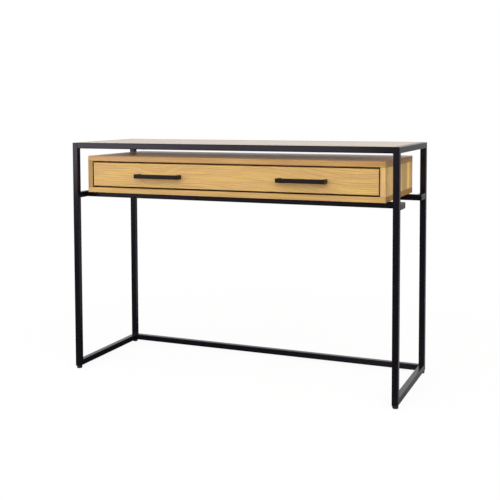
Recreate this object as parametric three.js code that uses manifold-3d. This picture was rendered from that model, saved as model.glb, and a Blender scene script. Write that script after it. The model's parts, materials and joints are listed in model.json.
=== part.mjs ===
// Writing desk: a powder-coated frame of square steel tube carries an inset oak top and, just below
// it, a shallow oak case with one wide drawer that runs on telescopic runners.
// Millimetres, +Z up. X runs along the desk, -Y is the user's side, and the floor is Z = 0.
// Everything is drawn about the middle of the steel frame, and the last lines move the desk back by
// half of what the handles stand proud, so that its origin is under the middle of the whole desk.

import * as THREE from "three";
import { mergeVertices } from "three/addons/utils/BufferGeometryUtils.js";
import Module from "manifold-3d";

// ---- Driving dimensions --------------------------------------------------------------------

// Overall size and steel tube
const WIDTH = 1100;
const DEPTH = 396;
const HEIGHT = 762;
const TUBE = 19;
const TUBE_WALL = 1.5;
const TUBE_CORNER = 2;
const GLIDE_HEIGHT = 9;

// Tabletop and the plates welded under it
const TOP_THICKNESS = 16;
const TOP_GAP = 1;
const TAB = { length: 40, reach: 28, thickness: 2, x: 300 };

// Case that holds the drawer
const CASE_WIDTH = 1010;
const CASE_HEIGHT = 121;
const CASE_BOTTOM = 597;
const CASE_SETBACK_FRONT = 24;
const CASE_SETBACK_REAR = 12;
const BOARD = 17;
const CASE_BACK_THICKNESS = 8;
const CASE_RAIL_SETBACK = 62;
const CASE_SCREW_X = 400;
const CASE_SCREW_ACCESS = 5.5;

// Drawer
const FRONT_GAP = { side: 4, edge: 5 };
const FRONT_RECESS = 1;
const FRONT_THICKNESS = 18;
const BOX_WALL = 12;
const BOX_LENGTH = 310;
const BOX_HEIGHT = 62;
const BOX_LIFT = 10;
const BOTTOM_PANEL = { thickness: 6, lift: 6, groove: 5, play: 0.5 };
const DRAWER_TRAVEL_GAP = 0.3;

// Telescopic runners
const RUNNER = { width: 13, length: 300, setback: 3, plate: 1.2 };

// Bar handles: each stands `spread` to its side of a middle that is `shift` right of the drawer's
const HANDLE = {
  length: 156, height: 13, bar: 9, post: 10, reach: 32, bevel: 0.75,
  spread: 243.5, shift: 7, drop: 1.5,
};

// Fasteners: bearing face at 0, head below it, shank above it
const WOOD_SCREW = { shank: 2, length: 12, head: 4.5, headHeight: 3, socket: 1.8, socketDepth: 1.6 };
const CASE_SCREW = { shank: 2, length: 16, head: 4.5, headHeight: 3, socket: 1.8, socketDepth: 1.6 };
const HANDLE_SCREW = { shank: 2, length: 38, head: 4, headHeight: 2.5, socket: 1.5, socketDepth: 1.4 };
const SCREW_CLEARANCE = 0.35;

// Smoothness of round shapes
const SCREW_SIDES = 16;
const GLIDE_SIDES = 24;
const CORNER_STEPS = 2;

// ---- Places worked out from them -----------------------------------------------------------

const HALF_TUBE = TUBE / 2;
const HALF_WIDTH = WIDTH / 2;
const HALF_DEPTH = DEPTH / 2;
const LEG_X = HALF_WIDTH - HALF_TUBE;
const LEG_Y = HALF_DEPTH - HALF_TUBE;
const INNER_X = HALF_WIDTH - TUBE;
const INNER_Y = HALF_DEPTH - TUBE;
const TOP_RAIL_Z = HEIGHT - HALF_TUBE;
const FLOOR_RAIL_Z = GLIDE_HEIGHT + HALF_TUBE;
const CASE_RAIL_Z = CASE_BOTTOM - HALF_TUBE;
const CASE_RAIL_Y = HALF_DEPTH - CASE_RAIL_SETBACK - HALF_TUBE;
const CASE_RAIL_INNER_Y = CASE_RAIL_Y - HALF_TUBE;
const TAB_Z = HEIGHT - TOP_THICKNESS - TAB.thickness;

const CASE_X = CASE_WIDTH / 2;
const CASE_FRONT_Y = -HALF_DEPTH + CASE_SETBACK_FRONT;
const CASE_REAR_Y = HALF_DEPTH - CASE_SETBACK_REAR;
const CASE_TOP = CASE_BOTTOM + CASE_HEIGHT;
const BAY_X = CASE_X - BOARD;
const BAY_BOTTOM = CASE_BOTTOM + BOARD;
const BAY_TOP = CASE_TOP - BOARD;

const FRONT_FACE_Y = CASE_FRONT_Y + FRONT_RECESS;
const FRONT_BACK_Y = FRONT_FACE_Y + FRONT_THICKNESS;
const FRONT_MIDDLE_Z = (BAY_BOTTOM + BAY_TOP) / 2;
const BOX_X = BAY_X - RUNNER.width;
const BOX_INNER_X = BOX_X - BOX_WALL;
const BOX_FRONT_INNER_Y = FRONT_BACK_Y + BOX_WALL;
const BOX_REAR_Y = FRONT_BACK_Y + BOX_LENGTH;
const BOX_BOTTOM = BAY_BOTTOM + BOX_LIFT;
const BOX_TOP = BOX_BOTTOM + BOX_HEIGHT;
const PANEL_BOTTOM = BOX_BOTTOM + BOTTOM_PANEL.lift;
const PANEL_TOP = PANEL_BOTTOM + BOTTOM_PANEL.thickness;
const PANEL_EDGE = BOTTOM_PANEL.groove - BOTTOM_PANEL.play;
const GROOVE_BOTTOM = PANEL_BOTTOM - DRAWER_TRAVEL_GAP;
const GROOVE_TOP = PANEL_TOP + DRAWER_TRAVEL_GAP;
const RUNNER_Z = (BOX_BOTTOM + BOX_TOP) / 2;
const HANDLE_POST_X = (HANDLE.length - HANDLE.post) / 2;
const HANDLE_Z = FRONT_MIDDLE_Z - HANDLE.drop;
const HANDLE_PROUD = HANDLE.reach - CASE_SETBACK_FRONT - FRONT_RECESS;

// ---- Materials -----------------------------------------------------------------------------

function finish(color, roughness, metalness) {
  return new THREE.MeshStandardMaterial({ color, roughness, metalness });
}

const POWDER_COAT = finish(0x28272b, 0.55, 0.1);
const HANDLE_BLACK = finish(0x242326, 0.45, 0.2);
const GLIDE_PLASTIC = finish(0x161617, 0.6, 0);
const OAK = finish(0xd3b07c, 0.6, 0);
const OAK_TOP = finish(0xcdaa78, 0.5, 0);
const BIRCH_PLY = finish(0xdec9a2, 0.7, 0);
const ZINC = finish(0xb4b7ba, 0.35, 0.9);
const BLACK_SCREW = finish(0x1c1c1e, 0.4, 0.6);

// ---- Solid helpers -------------------------------------------------------------------------

const wasm = await Module();
wasm.setup();

function toSolid(geometry) {
  const bare = geometry.clone();
  bare.deleteAttribute("normal");
  bare.deleteAttribute("uv");
  const merged = mergeVertices(bare);
  const vertProperties = new Float32Array(merged.getAttribute("position").array);
  const triVerts = new Uint32Array(merged.index.array);
  return new wasm.Manifold(new wasm.Mesh({ numProp: 3, vertProperties, triVerts }));
}

function toGeometry(solid) {
  const { vertProperties, triVerts } = solid.getMesh();
  const geometry = new THREE.BufferGeometry();
  geometry.setAttribute("position", new THREE.BufferAttribute(new Float32Array(vertProperties), 3));
  geometry.setIndex(new THREE.BufferAttribute(new Uint32Array(triVerts), 1));
  geometry.computeVertexNormals();
  return geometry;
}

// A hole is { at: [x, y, z], along: "y" or "z", radius, length }, centred on its point.
function holeTool({ at, along, radius, length }) {
  const tool = new THREE.CylinderGeometry(radius, radius, length, SCREW_SIDES);
  if (along === "z") {
    tool.rotateX(Math.PI / 2);
  }
  return tool.translate(...at);
}

function drill(geometry, holes) {
  let solid = toSolid(geometry);
  for (const hole of holes) {
    solid = solid.subtract(toSolid(holeTool(hole)));
  }
  return toGeometry(solid);
}

// A section drawn in its own (a, b) plane and run along an axis of the desk:
// along x, a is Y and b is Z; along y, a is Z and b is X; along z, a is X and b is Y.
const UNIT = {
  x: new THREE.Vector3(1, 0, 0),
  y: new THREE.Vector3(0, 1, 0),
  z: new THREE.Vector3(0, 0, 1),
};
const SECTION_AXES = { x: ["y", "z", "x"], y: ["z", "x", "y"], z: ["x", "y", "z"] };

function turnAlong(geometry, axis) {
  const [a, b, run] = SECTION_AXES[axis].map((name) => UNIT[name]);
  return geometry.applyMatrix4(new THREE.Matrix4().makeBasis(a, b, run));
}

function extrudeAlong(shape, length, axis) {
  return turnAlong(new THREE.ExtrudeGeometry(shape, { depth: length, bevelEnabled: false }), axis);
}

function outline(points) {
  return new THREE.Shape(points.map(([a, b]) => new THREE.Vector2(a, b)));
}

// ---- Scene helpers -------------------------------------------------------------------------

const desk = new THREE.Group();
const drawer = new THREE.Group();
desk.add(drawer);

function addPart(group, name, geometry, material, position = [0, 0, 0]) {
  const mesh = new THREE.Mesh(geometry, material.clone());
  mesh.name = name;
  mesh.position.set(...position);
  group.add(mesh);
}

// A board from its lowest to its highest corner. Its holes are given in the desk's frame.
function addBoard(group, name, low, high, material, holes = []) {
  const size = high.map((value, i) => value - low[i]);
  const centre = high.map((value, i) => (value + low[i]) / 2);
  const local = holes.map((hole) => ({ ...hole, at: hole.at.map((value, i) => value - centre[i]) }));
  const block = new THREE.BoxGeometry(...size);
  addPart(group, name, holes.length ? drill(block, local) : block, material, centre);
}

const SIDES = [["left", -1], ["right", 1]];
const ENDS = [["front", -1], ["rear", 1]];

function handleX(side) {
  return HANDLE.shift + side * HANDLE.spread;
}

// ---- Square tube ---------------------------------------------------------------------------

function tubeSection() {
  const corner = HALF_TUBE - TUBE_CORNER;
  const shape = new THREE.Shape();
  for (let quarter = 0; quarter < 4; quarter += 1) {
    const start = (quarter * Math.PI) / 2;
    const x = corner * (quarter === 0 || quarter === 3 ? 1 : -1);
    const y = corner * (quarter < 2 ? 1 : -1);
    shape.absarc(x, y, TUBE_CORNER, start, start + Math.PI / 2, false);
  }
  const bore = HALF_TUBE - TUBE_WALL;
  shape.holes.push(new THREE.Path([
    new THREE.Vector2(-bore, -bore),
    new THREE.Vector2(-bore, bore),
    new THREE.Vector2(bore, bore),
    new THREE.Vector2(bore, -bore),
  ]));
  return shape;
}

// A tube that starts at its local origin. A mitre names the section axis it slopes along
// ("a" or "b") and the side, +1 or -1, on which the tube keeps its full length.
function tube(length, axis, { start = null, end = null } = {}) {
  const options = { depth: length, bevelEnabled: false, curveSegments: CORNER_STEPS };
  const geometry = new THREE.ExtrudeGeometry(tubeSection(), options);
  const position = geometry.getAttribute("position");
  for (let i = 0; i < position.count; i += 1) {
    const across = { a: position.getX(i), b: position.getY(i) };
    const atStart = position.getZ(i) < length / 2;
    const mitre = atStart ? start : end;
    if (mitre) {
      const cut = HALF_TUBE - mitre.side * across[mitre.slope];
      position.setZ(i, atStart ? cut : length - cut);
    }
  }
  return turnAlong(geometry, axis);
}

// ---- Steel frame ---------------------------------------------------------------------------

function addLegs() {
  for (const [side, sx] of SIDES) {
    for (const [end, sy] of ENDS) {
      const mitre = { slope: "b", side: sy };
      const geometry = tube(HEIGHT - GLIDE_HEIGHT, "z", { start: mitre, end: mitre });
      addPart(desk, `leg_${end}_${side}`, geometry, POWDER_COAT, [sx * LEG_X, sy * LEG_Y, GLIDE_HEIGHT]);
    }
  }
}

// Top and floor rails close each side frame into a mitred loop.
function addSideRails() {
  const stemRadius = 3;
  for (const [side, sx] of SIDES) {
    const upper = { slope: "a", side: 1 };
    const lower = { slope: "a", side: -1 };
    const top = tube(DEPTH, "y", { start: upper, end: upper });
    addPart(desk, `top_rail_${side}`, top, POWDER_COAT, [sx * LEG_X, -HALF_DEPTH, TOP_RAIL_Z]);
    const stemHoles = [HALF_TUBE, DEPTH - HALF_TUBE].map((y) => ({
      at: [0, y, -HALF_TUBE],
      along: "z",
      radius: stemRadius + SCREW_CLEARANCE,
      length: 2 * TUBE_WALL + 1,
    }));
    const floor = drill(tube(DEPTH, "y", { start: lower, end: lower }), stemHoles);
    addPart(desk, `floor_rail_${side}`, floor, POWDER_COAT, [sx * LEG_X, -HALF_DEPTH, FLOOR_RAIL_Z]);
  }
}

function addCrossRails() {
  for (const [end, sy] of ENDS) {
    const rail = tube(2 * INNER_X, "x");
    addPart(desk, `top_rail_${end}`, rail, POWDER_COAT, [-INNER_X, sy * LEG_Y, TOP_RAIL_Z]);
  }
  addPart(desk, "rear_stretcher", tube(2 * INNER_X, "x"), POWDER_COAT, [-INNER_X, LEG_Y, FLOOR_RAIL_Z]);
}

// Two rails under the case, each mitred to short stubs that join it to the legs. The case's screws
// go in through access holes in their lower walls, and their heads bear inside on the upper walls.
function addCaseRails() {
  for (const [end, sy] of ENDS) {
    const mitre = { slope: "a", side: -sy };
    const holes = SIDES.flatMap(([, sx]) => [
      [HALF_TUBE, CASE_SCREW.shank + SCREW_CLEARANCE],
      [-HALF_TUBE, CASE_SCREW_ACCESS],
    ].map(([z, radius]) => ({
      at: [HALF_WIDTH + sx * CASE_SCREW_X, 0, z],
      along: "z",
      radius,
      length: 2 * TUBE_WALL + 1,
    })));
    const rail = drill(tube(WIDTH, "x", { start: mitre, end: mitre }), holes);
    addPart(desk, `case_rail_${end}`, rail, POWDER_COAT, [-HALF_WIDTH, sy * CASE_RAIL_Y, CASE_RAIL_Z]);
    for (const [side, sx] of SIDES) {
      const joint = { slope: "b", side: sx };
      const length = INNER_Y - CASE_RAIL_INNER_Y;
      const stub = tube(length, "y", sy < 0 ? { end: joint } : { start: joint });
      const y = sy < 0 ? -INNER_Y : CASE_RAIL_INNER_Y;
      addPart(desk, `case_stub_${end}_${side}`, stub, POWDER_COAT, [sx * LEG_X, y, CASE_RAIL_Z]);
    }
  }
}

// Moulded glides pushed into the corners of the side frames.
function addGlides() {
  const profile = [
    [0, 0], [6, 0], [7.7, 0.6], [8.8, 2], [9, 3.5], [9, 8.2], [8.3, GLIDE_HEIGHT],
    [3, GLIDE_HEIGHT], [3, GLIDE_HEIGHT + 4.5], [2.2, GLIDE_HEIGHT + 6], [0, GLIDE_HEIGHT + 6],
  ];
  const points = profile.map(([radius, height]) => new THREE.Vector2(radius, height));
  for (const [side, sx] of SIDES) {
    for (const [end, sy] of ENDS) {
      const glide = new THREE.LatheGeometry(points, GLIDE_SIDES).rotateX(Math.PI / 2);
      addPart(desk, `foot_${end}_${side}`, glide, GLIDE_PLASTIC, [sx * LEG_X, sy * LEG_Y, 0]);
    }
  }
}

// ---- Screws --------------------------------------------------------------------------------

function screw({ shank, length, head, headHeight, socket, socketDepth }) {
  const profile = [
    [0, socketDepth - headHeight],
    [socket, socketDepth - headHeight],
    [socket, -headHeight],
    [head * 0.7, -headHeight],
    [head, -headHeight * 0.45],
    [head, 0],
    [shank, 0],
    [shank, length - shank],
    [0, length],
  ];
  return new THREE.LatheGeometry(profile.map(([r, h]) => new THREE.Vector2(r, h)), SCREW_SIDES);
}

// ---- Tabletop ------------------------------------------------------------------------------

function addTabletop() {
  const holes = [];
  const shankHole = WOOD_SCREW.shank + SCREW_CLEARANCE;
  const depth = WOOD_SCREW.length - TAB.thickness + 0.5;
  for (const [end, sy] of ENDS) {
    for (const [side, sx] of SIDES) {
      const x = sx * TAB.x;
      const y = sy * (INNER_Y - TAB.reach / 2);
      const inner = [INNER_Y, INNER_Y - TAB.reach].map((value) => sy * value);
      const low = [x - TAB.length / 2, Math.min(...inner), TAB_Z];
      const high = [x + TAB.length / 2, Math.max(...inner), TAB_Z + TAB.thickness];
      const through = { at: [x, y, TAB_Z], along: "z", radius: shankHole, length: 3 * TAB.thickness };
      addBoard(desk, `top_tab_${end}_${side}`, low, high, POWDER_COAT, [through]);
      const fixing = screw(WOOD_SCREW).rotateX(Math.PI / 2);
      addPart(desk, `top_screw_${end}_${side}`, fixing, ZINC, [x, y, TAB_Z]);
      holes.push({
        at: [x, y, TAB_Z + TAB.thickness],
        along: "z",
        radius: shankHole,
        length: 2 * depth,
      });
    }
  }
  const x = INNER_X - TOP_GAP;
  const y = INNER_Y - TOP_GAP;
  addBoard(desk, "tabletop", [-x, -y, HEIGHT - TOP_THICKNESS], [x, y, HEIGHT], OAK_TOP, holes);
}

// ---- Case ----------------------------------------------------------------------------------

function addCase() {
  const screwHoles = [];
  for (const [end, sy] of ENDS) {
    for (const [side, sx] of SIDES) {
      const at = [sx * CASE_SCREW_X, sy * CASE_RAIL_Y, CASE_BOTTOM];
      const depth = CASE_SCREW.length - TUBE_WALL + 0.5;
      screwHoles.push({ at, along: "z", radius: CASE_SCREW.shank + SCREW_CLEARANCE, length: 2 * depth });
      const fixing = screw(CASE_SCREW).rotateX(Math.PI / 2);
      const bearing = [at[0], at[1], CASE_BOTTOM - TUBE_WALL];
      addPart(desk, `case_screw_${end}_${side}`, fixing, BLACK_SCREW, bearing);
    }
  }
  const span = (bottom, top, halfX) => [[-halfX, CASE_FRONT_Y, bottom], [halfX, CASE_REAR_Y, top]];
  addBoard(desk, "case_bottom", ...span(CASE_BOTTOM, BAY_BOTTOM, CASE_X), OAK, screwHoles);
  addBoard(desk, "case_top", ...span(BAY_TOP, CASE_TOP, CASE_X), OAK);
  for (const [side, sx] of SIDES) {
    const edges = [sx * BAY_X, sx * CASE_X];
    const low = [Math.min(...edges), CASE_FRONT_Y, BAY_BOTTOM];
    const high = [Math.max(...edges), CASE_REAR_Y, BAY_TOP];
    addBoard(desk, `case_side_${side}`, low, high, OAK);
  }
  const backLow = [-BAY_X, CASE_REAR_Y - CASE_BACK_THICKNESS, BAY_BOTTOM];
  addBoard(desk, "case_back", backLow, [BAY_X, CASE_REAR_Y, BAY_TOP], OAK);
}

// ---- Runners -------------------------------------------------------------------------------

// A channel section, in heights (a) and in distances from the case side (b). Its web stands at
// `web`, and its two lips reach to `lips`.
function channel(web, lips, halfHeight) {
  const inner = web + Math.sign(lips - web) * RUNNER.plate;
  const lipHeight = halfHeight - RUNNER.plate;
  return [
    [-halfHeight, web], [-halfHeight, lips], [-lipHeight, lips], [-lipHeight, inner],
    [lipHeight, inner], [lipHeight, lips], [halfHeight, lips], [halfHeight, web],
  ];
}

// Each runner has a member on the case side, one on the drawer side, and one between them that
// travels half as far as the drawer.
function addRunners() {
  const members = [
    ["case", desk, channel(0, 9, 22.5)],
    ["middle", desk, channel(3.2, 11, 18.7)],
    ["drawer", drawer, channel(RUNNER.width, 6, 14.9)],
  ];
  for (const [side, sx] of SIDES) {
    for (const [member, group, section] of members) {
      const placed = section.map(([height, inward]) => [height, -sx * inward]);
      const geometry = extrudeAlong(outline(placed), RUNNER.length, "y");
      const position = [sx * BAY_X, FRONT_BACK_Y + RUNNER.setback, RUNNER_Z];
      addPart(group, `runner_${member}_${side}`, geometry, ZINC, position);
    }
  }
}

// ---- Drawer --------------------------------------------------------------------------------

function handleScrewHoles(y, length) {
  const radius = HANDLE_SCREW.shank + SCREW_CLEARANCE;
  const holes = [];
  for (const [, sx] of SIDES) {
    for (const [, post] of SIDES) {
      const x = handleX(sx) + post * HANDLE_POST_X;
      holes.push({ at: [x, y, HANDLE_Z], along: "y", radius, length });
    }
  }
  return holes;
}

function addDrawerFront() {
  const x = BAY_X - FRONT_GAP.side;
  const low = [-x, FRONT_FACE_Y, BAY_BOTTOM + FRONT_GAP.edge];
  const high = [x, FRONT_BACK_Y, BAY_TOP - FRONT_GAP.edge];
  addBoard(drawer, "drawer_front", low, high, OAK, handleScrewHoles(FRONT_FACE_Y, 3 * FRONT_THICKNESS));
}

function addDrawerBox() {
  const boxFront = outline([
    [FRONT_BACK_Y, BOX_BOTTOM], [BOX_FRONT_INNER_Y, BOX_BOTTOM],
    [BOX_FRONT_INNER_Y, GROOVE_BOTTOM], [BOX_FRONT_INNER_Y - BOTTOM_PANEL.groove, GROOVE_BOTTOM],
    [BOX_FRONT_INNER_Y - BOTTOM_PANEL.groove, GROOVE_TOP], [BOX_FRONT_INNER_Y, GROOVE_TOP],
    [BOX_FRONT_INNER_Y, BOX_TOP], [FRONT_BACK_Y, BOX_TOP],
  ]);
  const boardFront = extrudeAlong(boxFront, 2 * BOX_INNER_X, "x").translate(-BOX_INNER_X, 0, 0);
  addPart(
    drawer, "drawer_box_front",
    drill(boardFront, handleScrewHoles(FRONT_BACK_Y, 3 * BOX_WALL)), BIRCH_PLY,
  );
  for (const [side, sx] of SIDES) {
    const inner = sx * BOX_INNER_X;
    const outer = sx * BOX_X;
    const deep = sx * (BOX_INNER_X + BOTTOM_PANEL.groove);
    const section = outline([
      [BOX_BOTTOM, outer], [BOX_BOTTOM, inner], [GROOVE_BOTTOM, inner], [GROOVE_BOTTOM, deep],
      [GROOVE_TOP, deep], [GROOVE_TOP, inner], [BOX_TOP, inner], [BOX_TOP, outer],
    ]);
    const board = extrudeAlong(section, BOX_LENGTH, "y");
    addPart(drawer, `drawer_side_${side}`, board, BIRCH_PLY, [0, FRONT_BACK_Y, 0]);
  }
  const backLow = [-BOX_INNER_X, BOX_REAR_Y - BOX_WALL, GROOVE_TOP];
  addBoard(drawer, "drawer_back", backLow, [BOX_INNER_X, BOX_REAR_Y, BOX_TOP], BIRCH_PLY);
  const panelX = BOX_INNER_X + PANEL_EDGE;
  const panelLow = [-panelX, BOX_FRONT_INNER_Y - PANEL_EDGE, PANEL_BOTTOM];
  addBoard(drawer, "drawer_bottom", panelLow, [panelX, BOX_REAR_Y, PANEL_TOP], BIRCH_PLY);
}

// A square bar on two square posts, bevelled on its upper and lower edges.
function handleGeometry() {
  const end = HANDLE.length / 2;
  const post = end - HANDLE.post;
  const barBack = HANDLE.bar - HANDLE.reach;
  const shape = outline([
    [-end, 0], [-end, -HANDLE.reach], [end, -HANDLE.reach], [end, 0],
    [post, 0], [post, barBack], [-post, barBack], [-post, 0],
  ]);
  const bar = new THREE.ExtrudeGeometry(shape, {
    depth: HANDLE.height - 2 * HANDLE.bevel,
    bevelThickness: HANDLE.bevel,
    bevelSize: HANDLE.bevel,
    bevelOffset: -HANDLE.bevel,
    bevelSegments: 1,
  });
  bar.translate(0, 0, HANDLE.bevel - HANDLE.height / 2);
  const threadLength = HANDLE_SCREW.length - BOX_WALL - FRONT_THICKNESS + 0.5;
  return drill(bar, SIDES.map(([, sx]) => ({
    at: [sx * HANDLE_POST_X, 0, 0],
    along: "y",
    radius: HANDLE_SCREW.shank + SCREW_CLEARANCE,
    length: 2 * threadLength,
  })));
}

function addHandles() {
  for (const [side, sx] of SIDES) {
    const place = [handleX(sx), FRONT_FACE_Y, HANDLE_Z];
    addPart(drawer, `handle_${side}`, handleGeometry(), HANDLE_BLACK, place);
    for (const [post, px] of SIDES) {
      const x = handleX(sx) + px * HANDLE_POST_X;
      const fixing = screw(HANDLE_SCREW).rotateX(Math.PI);
      const name = `handle_screw_${side}_${post}`;
      addPart(drawer, name, fixing, ZINC, [x, BOX_FRONT_INNER_Y, HANDLE_Z]);
    }
  }
}

addLegs();
addSideRails();
addCrossRails();
addCaseRails();
addGlides();
addTabletop();
addCase();
addRunners();
addDrawerFront();
addDrawerBox();
addHandles();
desk.position.y = HANDLE_PROUD / 2;

export default desk;
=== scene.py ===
import json
import math

import bmesh
import bpy
from mathutils import Matrix, Vector

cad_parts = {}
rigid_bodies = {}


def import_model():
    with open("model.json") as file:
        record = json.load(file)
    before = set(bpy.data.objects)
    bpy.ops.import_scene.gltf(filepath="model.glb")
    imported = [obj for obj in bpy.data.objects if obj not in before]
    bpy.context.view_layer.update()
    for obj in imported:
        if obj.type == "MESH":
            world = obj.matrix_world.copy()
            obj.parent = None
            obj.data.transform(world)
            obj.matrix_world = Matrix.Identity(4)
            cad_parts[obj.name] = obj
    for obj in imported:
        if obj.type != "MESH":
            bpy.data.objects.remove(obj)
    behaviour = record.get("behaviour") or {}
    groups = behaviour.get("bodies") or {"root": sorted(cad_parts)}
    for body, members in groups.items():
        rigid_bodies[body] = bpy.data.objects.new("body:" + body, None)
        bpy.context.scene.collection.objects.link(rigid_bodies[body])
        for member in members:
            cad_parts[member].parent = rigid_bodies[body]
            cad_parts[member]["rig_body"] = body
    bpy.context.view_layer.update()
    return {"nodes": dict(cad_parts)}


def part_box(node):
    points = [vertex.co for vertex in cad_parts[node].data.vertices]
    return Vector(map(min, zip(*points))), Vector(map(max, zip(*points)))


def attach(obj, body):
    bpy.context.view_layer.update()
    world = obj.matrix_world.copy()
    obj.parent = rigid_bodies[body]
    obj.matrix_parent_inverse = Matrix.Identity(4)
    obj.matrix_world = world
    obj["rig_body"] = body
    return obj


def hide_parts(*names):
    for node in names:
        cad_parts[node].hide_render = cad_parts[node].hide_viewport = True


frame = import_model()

# Looks for a writing desk: square steel tube, an inset oak top, and an oak case with one drawer.
# Sizes are in millimetres and turned into metres by MM. Places come from the CAD frame. Only the
# studio, at the end, is laid out in metres.

MM = 0.001
SIDES = (("left", -1), ("right", 1))
ENDS = (("front", -1), ("rear", 1))


def low_high(node):
    """A CAD node's lowest and highest corner, in millimetres."""
    low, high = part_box(node)
    return low / MM, high / MM


def middle(node):
    low, high = low_high(node)
    return (low + high) / 2


# ---- Pieces --------------------------------------------------------------------------------

SMOOTH_ANGLE = math.radians(32)


def finish_mesh(bm, name):
    """A mesh in metres from a bmesh in millimetres, with outward faces and smooth round edges."""
    bmesh.ops.recalc_face_normals(bm, faces=bm.faces)
    bmesh.ops.scale(bm, vec=(MM, MM, MM), verts=bm.verts)
    mesh = bpy.data.meshes.new(name)
    bm.to_mesh(mesh)
    bm.free()
    mesh.shade_smooth()
    mesh.set_sharp_from_angle(angle=SMOOTH_ANGLE)
    return mesh


def make_piece(name, bm, material, nodes=(), body=None, cutters=None):
    """A piece that stands for CAD nodes, or that rides on a body of its own choice."""
    mesh = finish_mesh(bm, name)
    piece = bpy.data.objects.new(name, mesh)
    bpy.context.scene.collection.objects.link(piece)
    if cutters is not None:
        cut_away(piece, finish_mesh(cutters, name + "_cutters"))
    piece.data.materials.clear()
    piece.data.materials.append(material)
    normals = piece.modifiers.new("weighted_normals", "WEIGHTED_NORMAL")
    normals.keep_sharp = True
    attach(piece, body or frame["nodes"][nodes[0]]["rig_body"])
    if nodes:
        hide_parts(*nodes)
    return piece


def cut_away(piece, cutter_mesh):
    """Cuts closed solids out of a piece's mesh."""
    cutter = bpy.data.objects.new(cutter_mesh.name, cutter_mesh)
    bpy.context.scene.collection.objects.link(cutter)
    boolean = piece.modifiers.new("cut", "BOOLEAN")
    boolean.operation = "DIFFERENCE"
    boolean.solver = "EXACT"
    boolean.object = cutter
    bpy.context.view_layer.update()
    shape = piece.evaluated_get(bpy.context.evaluated_depsgraph_get())
    mesh = bpy.data.meshes.new_from_object(shape)
    piece.modifiers.clear()
    piece.data = mesh
    bpy.data.objects.remove(cutter)
    mesh.shade_smooth()
    mesh.set_sharp_from_angle(angle=SMOOTH_ANGLE)


# ---- Shapes --------------------------------------------------------------------------------

# Along an axis, a section's own (a, b) plane, as in the CAD model.
SECTION_AXES = {"x": (1, 2, 0), "y": (2, 0, 1), "z": (0, 1, 2)}


def to_frame(axis, origin, a, b, run):
    """A point from a section's own coordinates along an axis."""
    point = Vector(origin)
    for index, value in zip(SECTION_AXES[axis], (a, b, run)):
        point[index] += value
    return point


def rounded_square(half, radius, steps):
    """Corner points of a square with round corners, in order."""
    points = []
    for quarter in range(4):
        turn = quarter * math.pi / 2
        centre = Matrix.Rotation(turn, 2) @ Vector((half - radius, half - radius))
        for step in range(steps + 1):
            angle = turn + step / steps * math.pi / 2
            points.append(centre + radius * Vector((math.cos(angle), math.sin(angle))))
    return points


def skin(bm, rings, closed_along=False, caps=False):
    """Quads between rings of points, each ring closed on itself."""
    made = [[bm.verts.new(point) for point in ring] for ring in rings]
    pairs = list(zip(made, made[1:]))
    if closed_along:
        pairs.append((made[-1], made[0]))
    for first, second in pairs:
        for i in range(len(first)):
            j = (i + 1) % len(first)
            bm.faces.new((first[i], first[j], second[j], second[i]))
    if caps:
        bm.faces.new(made[0][::-1])
        bm.faces.new(made[-1])
    return made


def lathe(bm, profile, centre, direction, sides):
    """A solid of revolution from (radius, height) points, with the first and last on its axis."""
    direction = Vector(direction).normalized()
    across = direction.orthogonal().normalized()
    other = direction.cross(across)
    centre = Vector(centre)
    rings = []
    for radius, height in profile:
        base = centre + height * direction
        if radius == 0:
            rings.append([bm.verts.new(base)])
            continue
        angles = [2 * math.pi * i / sides for i in range(sides)]
        points = [base + radius * (math.cos(t) * across + math.sin(t) * other) for t in angles]
        rings.append([bm.verts.new(point) for point in points])
    for first, second in zip(rings, rings[1:]):
        for i in range(sides):
            j = (i + 1) % sides
            if len(first) == 1:
                bm.faces.new((first[0], second[j], second[i]))
            elif len(second) == 1:
                bm.faces.new((first[i], first[j], second[0]))
            else:
                bm.faces.new((first[i], first[j], second[j], second[i]))


def drill(bm, radius, start, end, place, direction, sides=32):
    """A round cutter along a direction, from start to end as seen from a place."""
    lathe(bm, [(0, start), (radius, start), (radius, end), (0, end)], place, direction, sides)


def arc(centre, radius, start, end, steps):
    """Points of an arc in a profile's plane, angles in degrees."""
    angles = [math.radians(start + (end - start) * i / steps) for i in range(steps + 1)]
    return [(centre[0] + radius * math.cos(t), centre[1] + radius * math.sin(t)) for t in angles]


def prism(bm, outline, axis, origin, length):
    """A section with a closed outline, run along an axis."""
    rings = [[to_frame(axis, origin, a, b, run) for a, b in outline] for run in (0, length)]
    skin(bm, rings, caps=True)


def bevel_sharp(bm, width, segments, shortest=0.0):
    """Eases every edge that turns by more than 45 degrees and is longer than the shortest."""
    sharp = [
        edge for edge in bm.edges
        if len(edge.link_faces) == 2
        and edge.calc_face_angle() > math.radians(45)
        and edge.calc_length() > shortest
    ]
    bmesh.ops.bevel(
        bm, geom=sharp, offset=width, segments=segments, profile=0.5, affect="EDGES",
        clamp_overlap=True,
    )


def cad_shape(node):
    """A CAD node's solid in millimetres, its flat faces whole again."""
    bm = bmesh.new()
    bm.from_mesh(frame["nodes"][node].data)
    bmesh.ops.scale(bm, vec=(1 / MM,) * 3, verts=bm.verts)
    bmesh.ops.remove_doubles(bm, verts=bm.verts, dist=0.01)
    bmesh.ops.dissolve_limit(bm, angle_limit=math.radians(1), verts=bm.verts, edges=bm.edges)
    return bm


# ---- Node trees ----------------------------------------------------------------------------


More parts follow.
